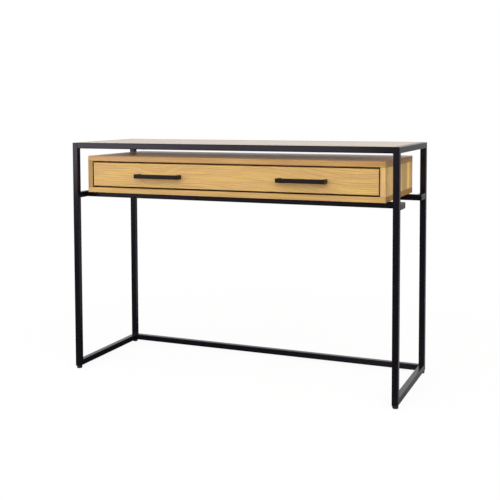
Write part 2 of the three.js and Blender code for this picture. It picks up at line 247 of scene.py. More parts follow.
class Graph:
    """Adds shader nodes to one tree and links what they are given."""

    def __init__(self, tree):
        self.tree = tree

    def add(self, kind, inputs=None, **settings):
        node = self.tree.nodes.new(kind)
        for name, value in settings.items():
            setattr(node, name, value)
        for key, value in (inputs or {}).items():
            self.put(node.inputs[key], value)
        return node

    def put(self, socket, value):
        if isinstance(value, bpy.types.NodeSocket):
            self.tree.links.new(value, socket)
        elif socket.type == "RGBA" and len(value) == 3:
            socket.default_value = (*value, 1)
        else:
            socket.default_value = value

    def math(self, operation, *values, clamp=False):
        inputs = dict(enumerate(values))
        return self.add("ShaderNodeMath", inputs, operation=operation, use_clamp=clamp).outputs[0]

    def vector(self, x, y, z):
        return self.add("ShaderNodeCombineXYZ", {0: x, 1: y, 2: z}).outputs[0]

    def split(self, vector):
        return self.add("ShaderNodeSeparateXYZ", {0: vector}).outputs

    def scaled(self, vector, scale):
        inputs = {0: vector, 1: scale}
        return self.add("ShaderNodeVectorMath", inputs, operation="MULTIPLY").outputs[0]

    def noise(self, vector, scale=1.0, detail=2.0, roughness=0.5):
        inputs = {"Vector": vector, "Scale": scale, "Detail": detail, "Roughness": roughness}
        return self.add("ShaderNodeTexNoise", inputs).outputs["Fac"]

    def spread(self, value, low, high, to_low=0.0, to_high=1.0):
        """A value taken smoothly from one range to another, and held at its ends."""
        inputs = {0: value, 1: low, 2: high, 3: to_low, 4: to_high}
        return self.add("ShaderNodeMapRange", inputs, interpolation_type="SMOOTHSTEP").outputs[0]

    def mix(self, factor, first, second, blend="MIX"):
        inputs = {0: factor, 6: first, 7: second}
        node = self.add("ShaderNodeMix", inputs, data_type="RGBA", blend_type=blend)
        return node.outputs[2]

    def shade(self, color, factor):
        """A colour made lighter or darker by a number."""
        inputs = {0: color, "Scale": factor}
        return self.add("ShaderNodeVectorMath", inputs, operation="SCALE").outputs[0]

    def random(self, value):
        inputs = {"W": value}
        node = self.add("ShaderNodeTexWhiteNoise", inputs, noise_dimensions="1D")
        return self.split(node.outputs["Color"])


def new_material(name):
    material = bpy.data.materials.new(name)
    material.use_nodes = True
    return material, Graph(material.node_tree), material.node_tree.nodes["Principled BSDF"]


def bump(graph, shader, height, strength, distance):
    inputs = {"Height": height, "Strength": strength, "Distance": distance * MM}
    graph.put(shader.inputs["Normal"], graph.add("ShaderNodeBump", inputs).outputs[0])


def solid_place(graph):
    """A point's place in its piece, in millimetres."""
    where = graph.add("ShaderNodeTexCoord").outputs["Object"]
    return graph.scaled(where, (1 / MM,) * 3)


# ---- Oak -----------------------------------------------------------------------------------

OAK_YELLOW = (0.575, 0.372, 0.104)
OAK_PINK = (0.545, 0.320, 0.118)
OAK_LATE = (0.34, 0.185, 0.050)
OAK_PORE = (0.19, 0.092, 0.028)
END_GRAIN_TINT = (0.70, 0.545, 0.30)
# The colour that darkens the case boards' inner faces: painted shade for the gaps round the
# drawer front.
INNER_PAINTED_SHADE = (0.38, 0.30, 0.22)
SHEEN_TINT = (1.0, 0.60, 0.34, 1.0)
JOINT_LINE_SHADE = 0.35

# Grain axis, then the two axes across it: the first runs over the staves.
GRAIN_AXES = {"x": ("X", "Y", "Z"), "x_front": ("X", "Z", "Y"), "z": ("Z", "Y", "X")}


def oak_group():
    """Solid oak: growth rings round a pith that leans a little, pores, fibres and staves.
    Position is in millimetres, with the grain along its X and the staves side by side in Y."""
    group = bpy.data.node_groups.new("solid_oak", "ShaderNodeTree")
    sockets = {
        "Position": "NodeSocketVector", "Endness": "NodeSocketFloat", "Stave": "NodeSocketFloat",
        "Seed": "NodeSocketFloat", "Pith A": "NodeSocketFloat", "Pith B": "NodeSocketFloat",
        "Pith Spread": "NodeSocketFloat", "Lean": "NodeSocketFloat", "Ring": "NodeSocketFloat",
        "Figure": "NodeSocketFloat", "Variety": "NodeSocketFloat", "Wander": "NodeSocketFloat",
    }
    for name, kind in sockets.items():
        group.interface.new_socket(name, in_out="INPUT", socket_type=kind)
    for name, kind in (("Color", "NodeSocketColor"), ("Height", "NodeSocketFloat")):
        group.interface.new_socket(name, in_out="OUTPUT", socket_type=kind)
    g = Graph(group)
    given = g.add("NodeGroupInput").outputs
    along, across, depth = g.split(given["Position"])

    stave = g.math("FLOOR", g.math("DIVIDE", across, given["Stave"]))
    in_stave = g.math("SUBTRACT", across, g.math("MULTIPLY", stave, given["Stave"]))
    first, second, third = g.random(g.math("ADD", stave, given["Seed"]))
    shifted = g.math("ADD", along, g.math("MULTIPLY", first, 3000.0))

    def off_centre(value, pith, chance):
        """How far a point lies from a stave's own pith."""
        moved = g.math("MULTIPLY", g.math("SUBTRACT", chance, 0.5), given["Pith Spread"])
        return g.math("SUBTRACT", g.math("SUBTRACT", value, pith), moved)

    pith_a = off_centre(in_stave, given["Pith A"], second)
    pith_b = off_centre(depth, given["Pith B"], third)
    leaning = g.math("ADD", pith_b, g.math("MULTIPLY", along, given["Lean"]))
    wander = g.noise(g.vector(shifted, pith_a, pith_b), 0.0042, 2.0, 0.45)
    waves = g.noise(g.vector(g.math("MULTIPLY", shifted, 0.35), pith_a, pith_b), 0.05, 2.0)
    squares = g.math("ADD", g.math("POWER", pith_a, 2.0), g.math("POWER", leaning, 2.0))
    radius = g.math("SQRT", squares)
    radius = g.math("ADD", radius, g.math("MULTIPLY", wander, given["Wander"]))
    radius = g.math("ADD", radius, g.math("MULTIPLY", waves, 1.2))
    rings = g.math("DIVIDE", radius, given["Ring"])
    phase = g.math("FRACT", rings)
    strength = g.spread(g.random(g.math("FLOOR", rings))[0], 0.0, 1.0, 0.35, 1.0)
    rise = g.spread(phase, 0.0, 0.12)
    fall = g.spread(phase, 0.2, 0.75, 1.0, 0.0)
    pore_band = g.math("MULTIPLY", g.math("MULTIPLY", rise, fall), strength)

    def grainy(length, width, detail=2.0):
        """Noise stretched along the grain, with spots of about this length and width."""
        place = g.vector(shifted, across, depth)
        return g.noise(g.scaled(place, (1 / length, 1 / width, 1 / width)), 1.0, detail)

    tone = g.spread(grainy(150.0, 9.0), 0.38, 0.62)
    streaks = g.math("SUBTRACT", grainy(130.0, 3.2, 3.0), 0.5)
    fibres = g.math("SUBTRACT", grainy(22.0, 0.55, 3.0), 0.5)
    pores = g.spread(grainy(8.0, 0.42), 0.57, 0.66)
    pores = g.math("MULTIPLY", pores, g.math("ADD", g.math("MULTIPLY", pore_band, 0.85), 0.15))

    color = g.mix(tone, OAK_YELLOW, OAK_PINK)
    color = g.mix(g.math("MULTIPLY", pore_band, given["Figure"]), color, OAK_LATE)
    color = g.mix(g.math("MULTIPLY", pores, 0.8), color, OAK_PORE)
    light = g.math("ADD", 1.0, g.math("MULTIPLY", streaks, 0.85))
    light = g.math("ADD", light, g.math("MULTIPLY", fibres, 0.22))
    chance = g.math("MULTIPLY", g.math("SUBTRACT", first, 0.5), given["Variety"])
    color = g.shade(color, g.math("ADD", light, chance))
    color = g.mix(given["Endness"], color, END_GRAIN_TINT, "MULTIPLY")

    height = g.math("ADD", g.math("MULTIPLY", fibres, 0.35), g.math("MULTIPLY", pores, -1.0))
    g.add("NodeGroupOutput", {"Color": color, "Height": height})
    return group


def oak_material(name, grain, seed, pith=(40.0, -70.0), stave=2000.0, pith_spread=0.0, lean=0.02,
                 ring=3.4, figure=0.42, variety=0.0, roughness=0.5, tint=(1.0, 1.0, 1.0),
                 wander=46.0, bends=(), staves=(), joints=None, painted_shade_face=None, relief=0.5,
                 specular=0.5, coat=0.0, sheen=0.0):
    """Oak for one board, in millimetres. A bend is (start, end, drop) of the grain lines, a
    stave is (start, end, shade) across them, and joints are the two ends that meet a board.
    An inner face, given by its axis and sign, can be darkened with painted shade, so the gaps
    round the drawer front read as dark shadow lines."""
    material, g, shader = new_material(name)
    place = dict(zip("XYZ", g.split(solid_place(g))))
    facing = dict(zip("XYZ", g.split(g.add("ShaderNodeTexCoord").outputs["Normal"])))
    axes = GRAIN_AXES[grain]
    along, across, depth = [place[axis] for axis in axes]
    for start, end, drop in bends:
        across = g.math("ADD", across, g.spread(along, start, end, 0.0, drop))
    position = g.vector(along, across, depth)
    end_on = g.math("ABSOLUTE", facing[axes[0]])
    inputs = {
        "Position": position, "Endness": g.spread(end_on, 0.55, 0.95), "Stave": stave,
        "Seed": seed, "Pith A": pith[0], "Pith B": pith[1], "Pith Spread": pith_spread,
        "Lean": lean, "Ring": ring, "Figure": figure, "Variety": variety, "Wander": wander,
    }
    wood = g.add("ShaderNodeGroup", node_tree=OAK)
    for key, value in inputs.items():
        g.put(wood.inputs[key], value)
    color = g.mix(1.0, wood.outputs["Color"], tint, "MULTIPLY")
    for start, end, shade in staves:
        inside = g.math("MULTIPLY", g.spread(across, start - 1, start + 1),
                        g.spread(across, end - 1, end + 1, 1.0, 0.0))
        color = g.shade(color, g.math("ADD", 1.0, g.math("MULTIPLY", inside, shade - 1)))
    if joints:
        low, high = joints
        after_low = g.spread(along, low + 0.3, low + 1.1, JOINT_LINE_SHADE, 1.0)
        before_high = g.spread(along, high - 1.1, high - 0.3, 1.0, JOINT_LINE_SHADE)
        color = g.shade(g.shade(color, after_low), before_high)
    # Painted shade: the inner face given by its axis and sign is darkened, so the gaps round the
    # drawer front read as dark shadow lines.
    if painted_shade_face:
        inward = g.math("MULTIPLY", facing[painted_shade_face[0]], painted_shade_face[1])
        color = g.mix(g.spread(inward, 0.6, 0.95), color, INNER_PAINTED_SHADE, "MULTIPLY")
    g.put(shader.inputs["Base Color"], color)
    rough = g.math("ADD", roughness, g.math("MULTIPLY", wood.outputs["Height"], -0.12))
    g.put(shader.inputs["Roughness"], rough)
    bump(g, shader, wood.outputs["Height"], relief, 0.12)
    shader.inputs["Specular IOR Level"].default_value = specular
    shader.inputs["Coat Weight"].default_value = coat
    shader.inputs["Coat Roughness"].default_value = 0.17
    shader.inputs["Sheen Weight"].default_value = sheen
    shader.inputs["Sheen Roughness"].default_value = 0.4
    shader.inputs["Sheen Tint"].default_value = SHEEN_TINT
    return material


OAK = oak_group()


# ---- Other materials -----------------------------------------------------------------------


def powder_coat():
    """Matte fine-texture coat: an even dark colour over a faint orange peel."""
    material, g, shader = new_material("powder_coat")
    where = solid_place(g)
    peel = g.noise(where, 1.5, 3.0, 0.55)
    cloud = g.noise(where, 0.03, 2.0)
    color = g.mix(g.spread(cloud, 0.3, 0.7), (0.0034, 0.0025, 0.0050), (0.0044, 0.0033, 0.0062))
    g.put(shader.inputs["Base Color"], color)
    g.put(shader.inputs["Roughness"], g.spread(peel, 0.2, 0.8, 0.22, 0.30))
    shader.inputs["Specular IOR Level"].default_value = 0.3
    shader.inputs["Specular Tint"].default_value = (0.97, 0.93, 1.0, 1.0)
    bump(g, shader, peel, 0.35, 0.06)
    return material


def handle_lacquer():
    """Satin black lacquer, smoother than the frame's coat."""
    material, g, shader = new_material("handle_black")
    where = solid_place(g)
    grain = g.noise(g.scaled(where, (0.35, 2.5, 2.5)), 1.0, 3.0)
    shade = g.spread(grain, 0.3, 0.7, 0.85, 1.2)
    g.put(shader.inputs["Base Color"], g.shade((0.0052, 0.0038, 0.0036), shade))
    g.put(shader.inputs["Roughness"], g.spread(grain, 0.2, 0.8, 0.36, 0.46))
    shader.inputs["Specular IOR Level"].default_value = 0.22
    shader.inputs["Specular Tint"].default_value = (1.0, 0.86, 0.76, 1.0)
    bump(g, shader, grain, 0.2, 0.02)
    return material


def zinc_plate():
    """Bright zinc plate: fine rolling lines along Y and a faint yellow and blue cloud."""
    material, g, shader = new_material("zinc_steel")
    where = solid_place(g)
    lines = g.noise(g.scaled(where, (2.2, 0.03, 2.2)), 1.0, 3.0)
    cloud = g.noise(where, 0.06, 2.0)
    color = g.mix(g.spread(cloud, 0.35, 0.65), (0.60, 0.60, 0.57), (0.54, 0.57, 0.62))
    g.put(shader.inputs["Base Color"], color)
    g.put(shader.inputs["Roughness"], g.spread(lines, 0.25, 0.75, 0.24, 0.4))
    shader.inputs["Metallic"].default_value = 0.95
    bump(g, shader, lines, 0.15, 0.02)
    return material


def black_oxide():
    material, g, shader = new_material("black_screw")
    spots = g.noise(solid_place(g), 1.2, 3.0)
    g.put(shader.inputs["Base Color"], g.mix(spots, (0.012, 0.012, 0.013), (0.03, 0.03, 0.033)))
    g.put(shader.inputs["Roughness"], g.spread(spots, 0.3, 0.7, 0.32, 0.5))
    shader.inputs["Metallic"].default_value = 0.6
    bump(g, shader, spots, 0.1, 0.02)
    return material


def glide_plastic():
    """Moulded matte plastic with a fine spark-eroded grain."""
    material, g, shader = new_material("glide_plastic")
    grain = g.noise(solid_place(g), 3.0, 2.0)
    g.put(shader.inputs["Base Color"], g.mix(grain, (0.008, 0.008, 0.009), (0.014, 0.014, 0.015)))
    g.put(shader.inputs["Roughness"], g.spread(grain, 0.3, 0.7, 0.5, 0.68))
    bump(g, shader, grain, 0.3, 0.03)
    return material


PLY_LAYER = 1.4
BIRCH_LIGHT = (0.64, 0.52, 0.35)
BIRCH_DARK = (0.55, 0.41, 0.25)
BIRCH_CROSSED = (0.40, 0.26, 0.14)


def birch_ply(name, thickness_axis, origin, grain_axis):
    """Birch plywood: rotary-cut faces, and crossed layers that show on the edges."""
    material, g, shader = new_material(name)
    place = dict(zip("XYZ", g.split(solid_place(g))))
    depth = g.math("SUBTRACT", place[thickness_axis], origin)
    layer = g.math("FLOOR", g.math("DIVIDE", depth, PLY_LAYER))
    crossed = g.math("GREATER_THAN", g.math("MODULO", g.math("ADD", layer, 20.0), 2.0), 0.5)
    long_axes = {"X": (0.004, 0.12, 0.12), "Y": (0.12, 0.004, 0.12), "Z": (0.12, 0.12, 0.004)}
    where = g.vector(place["X"], place["Y"], place["Z"])
    figure = g.noise(g.scaled(where, long_axes[grain_axis]), 1.0, 3.0)
    fine_axes = [value * 18 for value in long_axes[grain_axis]]
    fibres = g.noise(g.scaled(where, fine_axes), 1.0, 2.0)
    color = g.mix(g.spread(figure, 0.3, 0.7), BIRCH_LIGHT, BIRCH_DARK)
    color = g.mix(g.math("MULTIPLY", crossed, 0.62), color, BIRCH_CROSSED)
    color = g.shade(color, g.spread(fibres, 0.25, 0.75, 0.9, 1.08))
    g.put(shader.inputs["Base Color"], color)
    shader.inputs["Roughness"].default_value = 0.55
    bump(g, shader, fibres, 0.3, 0.05)
    return material


# ---- Steel frame ---------------------------------------------------------------------------

TUBE_CORNER = 2.0
TUBE_WALL = 1.5
TUBE_CORNER_STEPS = 5
JOINT_CHAMFER = 0.25
SCREW_ACCESS_RADIUS = 5.5
SCREW_HOLE_RADIUS = 2.35
GLIDE_HOLE_RADIUS = 3.35
WALL_CUT = 3.0


def tube(node, axis, start=None, end=None):
    """A square tube in a CAD tube's place. An end's mitre is (the section's axis that it slopes
    over, the side that keeps the full length)."""
    low, high = low_high(node)
    a_index, _, run_index = SECTION_AXES[axis]
    half = (high[a_index] - low[a_index]) / 2
    length = high[run_index] - low[run_index]
    origin = (low + high) / 2
    origin[run_index] = low[run_index]

    def ring(outline, mitre, at_start, inset):
        points = []
        for a, b in outline:
            run = 0.0
            if mitre:
                run = half - mitre[1] * (a if mitre[0] == "a" else b)
            run += inset
            points.append(to_frame(axis, origin, a, b, run if at_start else length - run))
        return points

    outer = rounded_square(half, TUBE_CORNER, TUBE_CORNER_STEPS)
    eased = rounded_square(half - JOINT_CHAMFER, TUBE_CORNER - JOINT_CHAMFER, TUBE_CORNER_STEPS)
    bore = rounded_square(half - TUBE_WALL, TUBE_CORNER / 3, TUBE_CORNER_STEPS)
    bm = bmesh.new()
    rings = [ring(bore, start, True, 0), ring(eased, start, True, 0)]
    rings += [ring(outer, start, True, JOINT_CHAMFER), ring(outer, end, False, JOINT_CHAMFER)]
    rings += [ring(eased, end, False, 0), ring(bore, end, False, 0)]
    skin(bm, rings, closed_along=True)
    return bm


def make_legs(coat):
    for side, _ in SIDES:
        for end, sy in ENDS:
            node = f"leg_{end}_{side}"
            make_piece(f"steel_{node}", tube(node, "z", ("b", sy), ("b", sy)), coat, [node])


def make_rails(coat):
    for side, _ in SIDES:
        top, floor = f"top_rail_{side}", f"floor_rail_{side}"
        make_piece(f"steel_{top}", tube(top, "y", ("a", 1), ("a", 1)), coat, [top])
        holes = bmesh.new()
        for end in ("front", "rear"):
            foot = middle(f"foot_{end}_{side}")
            foot.z = low_high(floor)[0].z
            drill(holes, GLIDE_HOLE_RADIUS, -WALL_CUT, WALL_CUT, foot, (0, 0, 1))
        bm = tube(floor, "y", ("a", -1), ("a", -1))
        make_piece(f"steel_{floor}", bm, coat, [floor], cutters=holes)
    for node in ("top_rail_front", "top_rail_rear", "rear_stretcher"):
        make_piece(f"steel_{node}", tube(node, "x"), coat, [node])


def make_case_rails(coat):
    for end, sy in ENDS:
        rail = f"case_rail_{end}"
        low, high = low_high(rail)
        holes = bmesh.new()
        for side, _ in SIDES:
            screw = middle(f"case_screw_{end}_{side}")
            for z, radius in ((low.z, SCREW_ACCESS_RADIUS), (high.z, SCREW_HOLE_RADIUS)):
                drill(holes, radius, -WALL_CUT, WALL_CUT, (screw.x, screw.y, z), (0, 0, 1))
        bm = tube(rail, "x", ("a", -sy), ("a", -sy))
        make_piece(f"steel_{rail}", bm, coat, [rail], cutters=holes)
        for side, sx in SIDES:
            stub = f"case_stub_{end}_{side}"
            mitre = ("b", sx)
            bm = tube(stub, "y", end=mitre) if sy < 0 else tube(stub, "y", start=mitre)
            make_piece(f"steel_{stub}", bm, coat, [stub])


BEAD_SIZE = 2.2
BEAD_PITCH = 1.6
BEAD_RINGS = 3
BEAD_STEPS = 5
BEAD_SINK = 0.25


def weld_bead(bm, corner, along, first, second, length):
    """A rippled fillet in an inner corner between two faces, with their normals given."""
    corner, along = Vector(corner), Vector(along)
    first, second = Vector(first), Vector(second)
    count = int(length / BEAD_PITCH) * BEAD_RINGS
    rings = []
    for i in range(count + 1):
        share = i / count
        ripple = 1 + 0.10 * math.cos(2 * math.pi * i / BEAD_RINGS)
        taper = math.sqrt(max(0.0, 1 - abs(2 * share - 1) ** 6))
        size = BEAD_SIZE * ripple * max(taper, 0.12)
        base = corner + (share - 0.5) * length * along - BEAD_SINK * (first + second)
        ring = [base]
        for step in range(BEAD_STEPS + 1):
            angle = step / BEAD_STEPS * math.pi / 2
            reach = size * (0.8 + 0.12 * math.sin(2 * angle))
            ring.append(base + reach * (math.cos(angle) * first + math.sin(angle) * second))
        rings.append(ring)
    skin(bm, rings, caps=True)


def make_weld_beads(coat):
    """The welds in the frame's inner corners, under the same coat."""
    x, y, z = Vector((1, 0, 0)), Vector((0, 1, 0)), Vector((0, 0, 1))
    for side, sx in SIDES:
        for end, sy in ENDS:
            bm = bmesh.new()
            leg_low, leg_high = low_high(f"leg_{end}_{side}")
            leg = (leg_low + leg_high) / 2
            inner_x = leg_low.x if sx > 0 else leg_high.x
            inner_y = leg_low.y if sy > 0 else leg_high.y
            length = leg_high.x - leg_low.x - 3
            under_top = low_high(f"top_rail_{end}")[0].z
            on_floor = low_high(f"floor_rail_{side}")[1].z
            weld_bead(bm, (leg.x, inner_y, under_top), x, -sy * y, -z, length)
            weld_bead(bm, (leg.x, inner_y, on_floor), x, -sy * y, z, length)
            weld_bead(bm, (inner_x, leg.y, under_top), y, -sx * x, -z, length)
            if end == "rear":
                weld_bead(bm, (inner_x, leg.y, on_floor), y, -sx * x, z, length)
            rail_low, rail_high = low_high(f"case_rail_{end}")
            rail_face = rail_high.y if sy > 0 else rail_low.y
            rail_middle = (rail_low.z + rail_high.z) / 2
            weld_bead(bm, (leg.x, inner_y, rail_low.z), x, -sy * y, -z, length)
            weld_bead(bm, (leg.x, inner_y, rail_high.z), x, -sy * y, z, length)
            weld_bead(bm, (inner_x, inner_y, rail_middle), z, -sx * x, -sy * y, length)
            weld_bead(bm, (inner_x, rail_face, rail_middle), z, -sx * x, sy * y, length)
            make_piece(f"weld_beads_{end}_{side}", bm, coat, body="frame")


GLIDE_STEM = 2.6
GLIDE_BARBS = 3


def make_glides(plastic):
    """Glides with a rounded tread, a flange under the tube and a barbed stem inside it."""
    for side, _ in SIDES:
        for end, _ in ENDS:
            node = f"foot_{end}_{side}"
            low, high = low_high(node)
            radius = (high.x - low.x) / 2
            flange = low_high(f"floor_rail_{side}")[0].z - low.z
            top = high.z - low.z
            profile = [(0, 0.3), (radius - 5, 0.3), (radius - 4.6, 0), (radius - 3, 0)]
            profile += arc((radius - 3, 3), 3, -90, 0, 8)[1:]
            profile += [(radius, 5.2), (radius - 0.4, 5.5), (radius - 0.4, 6.0), (radius, 6.3)]
            profile += arc((radius - 0.7, flange - 0.7), 0.7, 0, 90, 3)
            profile += [(GLIDE_STEM, flange)]
            for barb in range(GLIDE_BARBS):
                base = flange + 0.8 + barb * 1.5
                profile += [(GLIDE_STEM, base), (GLIDE_STEM + 0.4, base + 0.2)]
                profile += [(GLIDE_STEM + 0.1, base + 1.1)]
            profile += [(2.0, top), (0, top)]
            bm = bmesh.new()
            lathe(bm, profile, (middle(node).x, middle(node).y, low.z), (0, 0, 1), 48)
            make_piece(f"glide_{end}_{side}", bm, plastic, [node])


# ---- Screws --------------------------------------------------------------------------------


SCREW_CORE = 1.75
SCREW_CREST = 2.15
SCREW_TIP = 1.8
WOOD_HEAD = {"height": 3.0, "radius": 4.5}
MACHINE_HEAD = {"height": 2.5, "radius": 4.0}


def screw_shape(node, direction, head, pitch):
    """A pan-head screw from a CAD screw: its head, then a ridged shank along direction."""
    head_height, head_radius = head["height"], head["radius"]
    low, high = low_high(node)
    direction = Vector(direction)
    spans = high - low
    length = abs(spans.dot(direction))
    centre = (low + high) / 2
    head_end = centre - direction * length / 2
    shank = length - head_height
    bm = bmesh.new()
    dome = head_height * 0.55
    profile = [(0, 0), (head_radius * 0.62, 0)]
    profile += [
        (head_radius * (0.62 + 0.38 * math.sin(t)), dome * (1 - math.cos(t)))
        for t in (math.radians(a) for a in (20, 40, 60, 80, 90))
    ]
    profile += [(head_radius, head_height - 0.15), (head_radius - 0.15, head_height)]
    profile += [(SCREW_CORE, head_height)]
    turns = int((shank - 3) / pitch)
    for turn in range(turns):
        base = head_height + 0.8 + turn * pitch
        profile += [(SCREW_CORE, base), (SCREW_CREST, base + pitch * 0.35)]
        profile += [(SCREW_CORE, base + pitch * 0.7)]
    profile += [(SCREW_CORE - 0.15, length - SCREW_TIP), (0.4, length), (0, length)]
    lathe(bm, profile, head_end, direction, 32)
    return bm, head_end


def cross_recess(place, direction, reach, depth):
    """A cutter for a cross recess that narrows towards its bottom."""
    bm = bmesh.new()
    direction = Vector(direction)
    across = direction.orthogonal().normalized()
    other = direction.cross(across)
    outline = []
    for quarter in range(4):
        turn = Matrix.Rotation(quarter * math.pi / 2, 2)
        outline += [turn @ Vector(p) for p in ((reach, -0.45), (reach, 0.45), (0.55, 0.55))]
    rings = []
    for depth_share, scale in ((-0.5, 1.0), (0.0, 1.0), (1.0, 0.45)):
        base = place + direction * depth * depth_share
        rings.append([base + scale * (p.x * across + p.y * other) for p in outline])
    skin(bm, rings, caps=True)
    return bm


def make_screws(zinc, oxide):
    up, forward = (0, 0, 1), (0, -1, 0)
    for end, _ in ENDS:
        for side, _ in SIDES:
            for kind, finish in (("top_screw", zinc), ("case_screw", oxide)):
                node = f"{kind}_{end}_{side}"
                bm, head = screw_shape(node, up, WOOD_HEAD, pitch=1.3)
                recess = cross_recess(head, up, reach=2.1, depth=1.7)
                make_piece(f"wood_{node}", bm, finish, [node], cutters=recess)
    for side, _ in SIDES:
        for post, _ in SIDES:
            node = f"handle_screw_{side}_{post}"
            bm, head = screw_shape(node, forward, MACHINE_HEAD, pitch=0.7)
            recess = cross_recess(head, forward, reach=2.0, depth=1.5)
            make_piece(f"machine_{node}", bm, zinc, [node], cutters=recess)


# ---- Boards --------------------------------------------------------------------------------


def eased_board(name, node, material, edge, segments=3):
    """A CAD board with its long edges eased."""
    bm = cad_shape(node)
    bevel_sharp(bm, edge, segments, shortest=5.0)
    return make_piece(name, bm, material, [node])


def make_tabletop():
    wood = oak_material(
        "oak_tabletop", "x", 11.0, pith=(45.0, 650.0), stave=89.0, pith_spread=80.0, lean=0.05,
        figure=0.42, variety=0.10, roughness=0.40, wander=16.0, tint=(0.84, 0.88, 0.95),
        relief=0.15, specular=0.1, coat=1.0,
    )
    eased_board("oak_tabletop", "tabletop", wood, 0.8)


# The right side board is a lighter oak with darker and lighter staves, as (start, end, shade).
SIDE_TINTS = {"left": (0.70, 0.66, 0.60), "right": (1.26, 1.30, 1.38)}
SIDE_STAVES = {"left": (), "right": ((36, 108, 0.72), (108, 140, 1.20), (150, 175, 0.85))}


def make_case():
    # Each case board's inner face is darkened with painted shade, so the gaps round the drawer
    # front read as dark lines.
    top = oak_material("oak_case_top", "x", 3.0, pith=(30.0, 610.0), lean=0.015, stave=90.0,
                       pith_spread=60.0, variety=0.08, roughness=0.30, tint=(0.84, 0.74, 0.63),
                       painted_shade_face=("Z", -1.0), sheen=0.26)
    bottom = oak_material("oak_case_bottom", "x", 8.0, pith=(-60.0, 520.0), lean=0.02, stave=90.0,
                          pith_spread=60.0, variety=0.08, tint=(0.87, 0.86, 0.82),
                          painted_shade_face=("Z", 1.0))
    back = oak_material("oak_case_back", "x_front", 5.0, pith=(700.0, 90.0), lean=0.05)
    eased_board("oak_case_top", "case_top", top, 0.8)
    eased_board("oak_case_bottom", "case_bottom", bottom, 0.8)
    eased_board("oak_case_back", "case_back", back, 0.4)
    for side, sx in SIDES:
        low, high = low_high(f"case_side_{side}")
        wood = oak_material(f"oak_case_side_{side}", "z", 21.0 + sx, pith=(0.0, sx * 560.0),
                            stave=52.0, pith_spread=70.0, lean=0.02, variety=0.15,
                            tint=SIDE_TINTS[side], staves=SIDE_STAVES[side],
                            joints=(low.z, high.z), painted_shade_face=("X", -sx))
        eased_board(f"oak_case_side_{side}", f"case_side_{side}", wood, 0.8)


# Along the drawer front the grain dips at the left handle, rises again, and drops to the right.
FRONT_BENDS = ((-340, -255, 16), (-250, -150, -26), (90, 430, 46))


def make_drawer_front():
    wood = oak_material("oak_drawer_front", "x_front", 2.0, pith=(575.0, -225.0), lean=0.018,
                        ring=4.6, figure=0.56, wander=40.0, bends=FRONT_BENDS,
                        tint=(1.0, 1.02, 1.0))
    eased_board("oak_drawer_front", "drawer_front", wood, 0.7)


def make_drawer_box():
    for side, sx in SIDES:
        node = f"drawer_side_{side}"
        ply = birch_ply(f"birch_side_{side}", "X", low_high(node)[0].x, "Y")
        eased_board(f"ply_{node}", node, ply, 0.5, 2)
    for node in ("drawer_box_front", "drawer_back"):
        ply = birch_ply(f"birch_{node}", "Y", low_high(node)[0].y, "X")
        eased_board(f"ply_{node}", node, ply, 0.5, 2)
    ply = birch_ply("birch_bottom", "Z", low_high("drawer_bottom")[0].z, "X")
    eased_board("ply_drawer_bottom", "drawer_bottom", ply, 0.3, 2)


# ---- Handles -------------------------------------------------------------------------------

HANDLE_BAR = 9.0
HANDLE_POST = 10.0
HANDLE_EDGE = 0.9
SCREW_DEPTH = 9.0


def make_handles(lacquer):
    """Square bars on square posts, cast in one piece, with slightly round edges."""
    for side, _ in SIDES:
        node = f"handle_{side}"
        low, high = low_high(node)
        inner_low, inner_high = low.x + HANDLE_POST, high.x - HANDLE_POST
        bar_back = low.y + HANDLE_BAR
        outline = [
            (low.x, low.y), (high.x, low.y), (high.x, high.y), (inner_high, high.y),
            (inner_high, bar_back), (inner_low, bar_back), (inner_low, high.y), (low.x, high.y),
        ]
        bm = bmesh.new()
        prism(bm, outline, "z", (0, 0, low.z), high.z - low.z)
        bmesh.ops.recalc_face_normals(bm, faces=bm.faces)
        bevel_sharp(bm, HANDLE_EDGE, 3)
        holes = bmesh.new()
        for post, _ in SIDES:
            screw = middle(f"handle_screw_{side}_{post}")
            back = (screw.x, high.y, screw.z)
            drill(holes, SCREW_HOLE_RADIUS, -SCREW_DEPTH, 2, back, (0, 1, 0), sides=24)
        make_piece(f"bar_{node}", bm, lacquer, [node], cutters=holes)


# ---- Runners -------------------------------------------------------------------------------

PLATE = 1.2
MEMBER_BEND = 2.4
CAGE_PLATE = 0.6
CAGE_BEND = 1.6
BALL_RADIUS = 1.2
BALL_STEP = 13.0
BALL_MARGIN = 4

# Sections are (web, lips, half height), from the case wall inwards. Cages start behind the middle
# member's front end, and their balls run at (height, distance from the case wall).
MEMBER_SECTIONS = {"case": (0, 9, 22.5), "middle": (3.2, 11, 18.7), "drawer": (13, 6, 14.9)}
CAGES = {
    "outer": {"section": (1.9, 8.8, 20.3), "balls": (20.0, 6.4), "start": 152, "length": 140},
    "inner": {"section": (4.8, 10.8, 16.5), "balls": (16.2, 8.6), "start": 2, "length": 130},
}

# Each member's holes: their radius, and where they lie as shares of its length.
FIXING_HOLES = (2.2, (0.1, 0.35, 0.65, 0.9))
WEB_HOLES = {"case": FIXING_HOLES, "middle": (4.0, (0.2, 0.5, 0.8)), "drawer": FIXING_HOLES}


def channel_outline(web, lips, half_height, plate, bend):
    """A bent-sheet channel section as (height, inward) points, with round bends. Web and lips
    are how far its web's outside and its lips' ends stand from the case wall."""
    way = 1 if lips > web else -1
    outer_centre = (half_height - bend, web + way * bend)

    def corner(sign, radius):
        points = []
        for step in range(5):
            angle = step / 4 * math.pi / 2
            up = outer_centre[0] + radius * math.sin(angle)
            inward = outer_centre[1] - way * radius * math.cos(angle)
            points.append((sign * up, inward))
        return points

    outside = [(-half_height, lips)] + corner(-1, bend)[::-1]
    outside += corner(1, bend) + [(half_height, lips)]
    inner_half = half_height - plate
    inside = [(inner_half, lips)] + corner(1, bend - plate)[::-1]
    inside += corner(-1, bend - plate) + [(-inner_half, lips)]
    return outside + inside


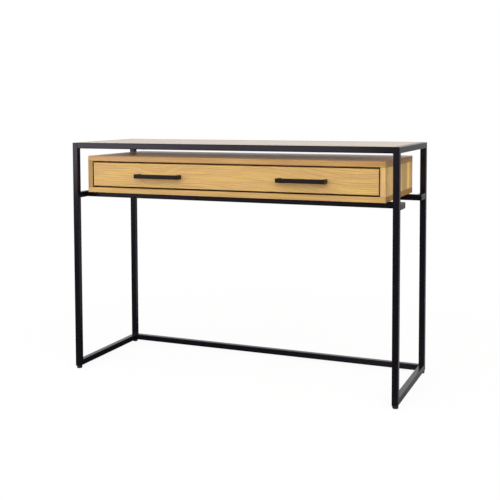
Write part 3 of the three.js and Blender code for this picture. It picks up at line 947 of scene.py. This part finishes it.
def channel(bm, node, sx, section, start=None, length=None):
    """Runs a channel section along Y in a runner's place, and gives the point that it starts
    from on the case wall."""
    low, high = low_high(node)
    wall_low, wall_high = low_high(f"case_side_{'left' if sx < 0 else 'right'}")
    wall = wall_high.x if sx < 0 else wall_low.x
    start = low.y if start is None else start
    length = high.y - low.y if length is None else length
    outline = [(height, -sx * inward) for height, inward in section]
    prism(bm, outline, "y", (wall, start, (low.z + high.z) / 2), length)
    return Vector((wall, start, (low.z + high.z) / 2))


def web_holes(node, sx, radius, shares):
    """Cutters through a member's web, spread along its length."""
    low, high = low_high(node)
    bm = bmesh.new()
    for share in shares:
        place = middle(node)
        place.y = low.y + share * (high.y - low.y)
        drill(bm, radius, -20, 20, place, (sx, 0, 0), sides=20)
    return bm


def ball_cage(name, side, sx, cage, zinc):
    """A cage strip with its balls, which travels with the middle member."""
    node = f"runner_middle_{side}"
    bm = bmesh.new()
    section = channel_outline(*cage["section"], CAGE_PLATE, CAGE_BEND)
    start = low_high(node)[0].y + cage["start"]
    origin = channel(bm, node, sx, section, start, cage["length"])
    height, inward = cage["balls"]
    count = int((cage["length"] - 2 * BALL_MARGIN) / BALL_STEP)
    for sign in (-1, 1):
        for i in range(count + 1):
            shift = Vector((-sx * inward, BALL_MARGIN + i * BALL_STEP, sign * height))
            bmesh.ops.create_icosphere(
                bm, subdivisions=2, radius=BALL_RADIUS, matrix=Matrix.Translation(origin + shift)
            )
    make_piece(name, bm, zinc, body=frame["nodes"][node]["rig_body"])


def make_runners(zinc):
    for side, sx in SIDES:
        for member, section in MEMBER_SECTIONS.items():
            node = f"runner_{member}_{side}"
            bm = bmesh.new()
            channel(bm, node, sx, channel_outline(*section, PLATE, MEMBER_BEND))
            holes = web_holes(node, sx, *WEB_HOLES[member])
            make_piece(f"sheet_{node}", bm, zinc, [node], cutters=holes)
        for kind, cage in CAGES.items():
            ball_cage(f"{kind}_ball_cage_{side}", side, sx, cage, zinc)


# ---- Tabs under the top --------------------------------------------------------------------


def make_tabs(coat):
    for end, _ in ENDS:
        for side, _ in SIDES:
            node = f"top_tab_{end}_{side}"
            eased_board(f"steel_{node}", node, coat, 0.3, 2)


# ---- Studio --------------------------------------------------------------------------------

# Metres and degrees, with the lens in millimetres and the shift as a share of the picture.
CAMERA_PLACE = (1.12412, -2.69902, 0.87212)
CAMERA_YAW = math.radians(22.9519)
CAMERA_PITCH = math.radians(-3.3955)
CAMERA_ROLL = math.radians(-0.2178)
CAMERA_LENS = 64.061
CAMERA_SHIFT = (0.01559, -0.17664)


def make_camera():
    data = bpy.data.cameras.new("camera")
    data.sensor_width = 36.0
    data.lens = CAMERA_LENS
    data.shift_x, data.shift_y = CAMERA_SHIFT
    data.clip_start, data.clip_end = 0.05, 200
    camera = bpy.data.objects.new("camera", data)
    bpy.context.scene.collection.objects.link(camera)
    turn = (
        Matrix.Rotation(CAMERA_YAW, 4, "Z")
        @ Matrix.Rotation(math.pi / 2 + CAMERA_PITCH, 4, "X")
        @ Matrix.Rotation(CAMERA_ROLL, 4, "Z")
    )
    camera.matrix_world = Matrix.Translation(CAMERA_PLACE) @ turn
    bpy.context.scene.camera = camera


def make_floor():
    """A plain white floor. The camera sees white paper that fades into the background, and the
    desk gets soft light from a grey floor that is darker at its front left."""
    material, g, shader = new_material("floor_paint")
    where = solid_place(g)
    x, y, _ = g.split(where)
    bright = g.spread(g.math("ADD", x, y), 0.0, 700.0)
    grey = g.mix(bright, (0.05, 0.05, 0.05), (0.40, 0.40, 0.40))
    cloud = g.spread(g.noise(where, 0.02, 2.0), 0.3, 0.7, 0.95, 1.05)
    g.put(shader.inputs["Base Color"], g.shade(grey, cloud))
    shader.inputs["Roughness"].default_value = 0.9
    shader.inputs["Specular IOR Level"].default_value = 0.1
    paper = g.add("ShaderNodeBsdfDiffuse", {"Color": (0.07, 0.07, 0.07)})
    glow = g.add("ShaderNodeEmission", {"Color": (1, 1, 1), "Strength": 0.92})
    near = g.add("ShaderNodeAddShader", {0: paper.outputs[0], 1: glow.outputs[0]})
    far = g.add("ShaderNodeEmission", {"Color": (1, 1, 1), "Strength": 1.0})
    length = g.add("ShaderNodeVectorMath", {0: where}, operation="LENGTH").outputs["Value"]
    fade = g.spread(length, 900.0, 1800.0)
    seen = g.add("ShaderNodeMixShader", {0: fade, 1: near.outputs[0], 2: far.outputs[0]})
    to_camera = g.add("ShaderNodeLightPath").outputs["Is Camera Ray"]
    inputs = {0: to_camera, 1: shader.outputs[0], 2: seen.outputs[0]}
    both = g.add("ShaderNodeMixShader", inputs)
    g.put(material.node_tree.nodes["Material Output"].inputs["Surface"], both.outputs[0])
    mesh = bpy.data.meshes.new("floor")
    reach = 40.0
    corners = [(-reach, -reach, 0), (reach, -reach, 0), (reach, reach, 0), (-reach, reach, 0)]
    mesh.from_pydata(corners, [], [(0, 1, 2, 3)])
    mesh.materials.append(material)
    floor = bpy.data.objects.new("floor", mesh)
    bpy.context.scene.collection.objects.link(floor)


def softbox(name, place, target, size, radiance, color=(1, 1, 1)):
    data = bpy.data.lights.new(name, "AREA")
    data.shape = "RECTANGLE"
    data.size, data.size_y = size
    data.energy = radiance * math.pi * size[0] * size[1]
    data.color = color
    light = bpy.data.objects.new(name, data)
    bpy.context.scene.collection.objects.link(light)
    light.location = place
    light.rotation_euler = (Vector(target) - Vector(place)).to_track_quat("-Z", "Y").to_euler()
    light.visible_camera = False
    return light


def make_lights():
    """Two large soft lights, and two panels for the front of the steel to reflect. The overhead
    light is aimed a hair off straight down, which settles the turn of its long side."""
    warm = (1, 0.985, 0.96)
    key = softbox("key_softbox", (1.0, -3.0, 1.9), (0.2, 0, 0.65), (3.2, 1.8), 2.2, warm)
    overhead = softbox("overhead_softbox", (0, 0, 3.0), (0, 0.001, 0), (2.4, 1.6), 1.0, warm)
    key.visible_glossy = overhead.visible_glossy = False
    cool = (0.95, 0.90, 1.0)
    softbox("left_panel", (-1.4, -1.5, 0.75), (-1.4, 0, 0.75), (1.0, 0.42), 3.9, cool)
    softbox("front_panel", (-0.4, -1.5, 0.77), (-0.4, 0, 0.77), (1.0, 0.38), 2.1, cool)


# Soft walls round the desk: the azimuth in degrees to the right of straight back, the cosines
# where the wall starts and where it is full, its rise, and its brightness.
WALLS = (
    (108.0, 0.45, 0.85, 0.25, 1.62),
    (178.0, 0.55, 0.90, 0.55, 1.25),
    (-98.0, 0.45, 0.85, 0.20, 0.80),
    (-5.0, 0.55, 0.90, 0.15, 0.46),
)
WALL_COLOR = (1.0, 0.97, 0.95)


def make_world():
    """White to the camera. As a light it is a dim room with soft walls, a bright screen behind
    the desk and a dark flag to the right of it. Reflections see the walls dimmed."""
    world = bpy.data.worlds.new("studio")
    bpy.context.scene.world = world
    world.use_nodes = True
    g = Graph(world.node_tree)
    direction = g.add("ShaderNodeTexCoord").outputs["Generated"]
    height = g.split(direction)[2]

    def toward(azimuth, low, high, rise=0.0):
        """How near a direction is to an azimuth, in degrees to the right of straight back."""
        angle = math.radians(azimuth)
        aim = Vector((math.sin(angle), math.cos(angle), rise)).normalized()
        inputs = {0: direction, 1: tuple(aim)}
        dot = g.add("ShaderNodeVectorMath", inputs, operation="DOT_PRODUCT").outputs["Value"]
        return g.spread(dot, low, high)

    band = g.math("MULTIPLY", g.spread(height, 0.04, 0.22, 0.24, 0.74),
                  g.spread(height, 0.35, 0.65, 1.0, 0.0))
    screen = g.math("MULTIPLY", toward(-8.0, 0.78, 0.88), band)
    walls = 0.0
    for azimuth, low, high, rise, light in WALLS:
        wall = g.math("MULTIPLY", toward(azimuth, low, high, rise), light)
        walls = g.math("ADD", walls, wall)
    to_gloss = g.add("ShaderNodeLightPath").outputs["Is Glossy Ray"]
    walls = g.math("MULTIPLY", walls, g.spread(to_gloss, 0.0, 1.0, 1.0, 0.3))
    flag = g.spread(toward(43.0, 0.90, 0.965), 0.0, 1.0, 1.0, 0.02)
    ambient = g.spread(height, 0.40, 0.65, 0.26, 0.05)
    level = g.math("MULTIPLY", g.math("ADD", ambient, screen), flag)
    room = g.add("ShaderNodeBackground", {"Color": (1, 1, 1), "Strength": level})
    warm_walls = g.add("ShaderNodeBackground", {"Color": WALL_COLOR, "Strength": walls})
    studio = g.add("ShaderNodeAddShader", {0: room.outputs[0], 1: warm_walls.outputs[0]})
    white = g.add("ShaderNodeBackground", {"Color": (1, 1, 1), "Strength": 1.0})
    to_camera = g.add("ShaderNodeLightPath").outputs["Is Camera Ray"]
    both = g.add("ShaderNodeMixShader", {0: to_camera, 1: studio.outputs[0], 2: white.outputs[0]})
    g.put(world.node_tree.nodes["World Output"].inputs["Surface"], both.outputs[0])


# ---- The desk in its studio ----------------------------------------------------------------

coat = powder_coat()
zinc = zinc_plate()
make_camera()
make_floor()
make_lights()
make_world()
bpy.context.scene.view_settings.view_transform = "Standard"

make_legs(coat)
make_rails(coat)
make_case_rails(coat)
make_weld_beads(coat)
make_glides(glide_plastic())
make_tabs(coat)
make_screws(zinc, black_oxide())
make_tabletop()
make_case()
make_drawer_front()
make_drawer_box()
make_handles(handle_lacquer())
make_runners(zinc)
